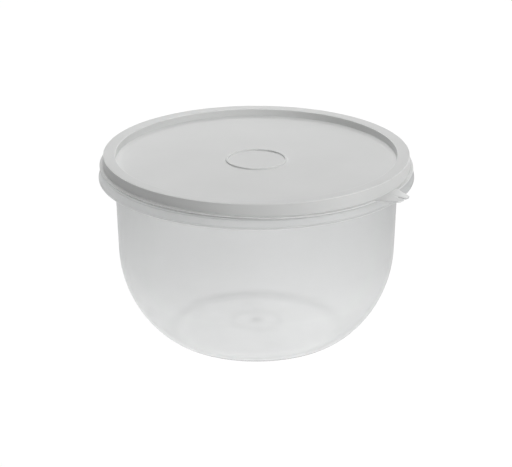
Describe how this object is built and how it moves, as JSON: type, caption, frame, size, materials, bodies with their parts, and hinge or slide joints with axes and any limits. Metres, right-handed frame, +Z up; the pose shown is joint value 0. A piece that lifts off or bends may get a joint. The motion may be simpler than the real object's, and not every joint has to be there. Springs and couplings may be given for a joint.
{
  "type": "round storage bowl with lid",
  "caption": "Round frosted plastic storage bowl with a flanged rim, a raised floor and a pale press-on lid with a recessed panel and a notched pull tab.",
  "frame": {"origin": "on the bowl's axis, in the plane that its foot stands on", "axes": "+Z up along the bowl's axis, out of the mouth; -Y towards the lid's pull tab"},
  "size_m": [0.2416, 0.2557, 0.146],
  "materials": {
    "bowl_plastic": "frosted and translucent, with a satin sheen",
    "lid_plastic": "opaque, softly satin"
  },
  "bodies": {
    "bowl": {"bowl": "bowl_plastic"},
    "lid": {"lid": "lid_plastic"}
  },
  "joints": [
    {"name": "lid_lift", "type": "slide", "parent": "bowl", "child": "lid", "axis": [0, 0, 1], "range_m": [0, 0.08]}
  ]
}
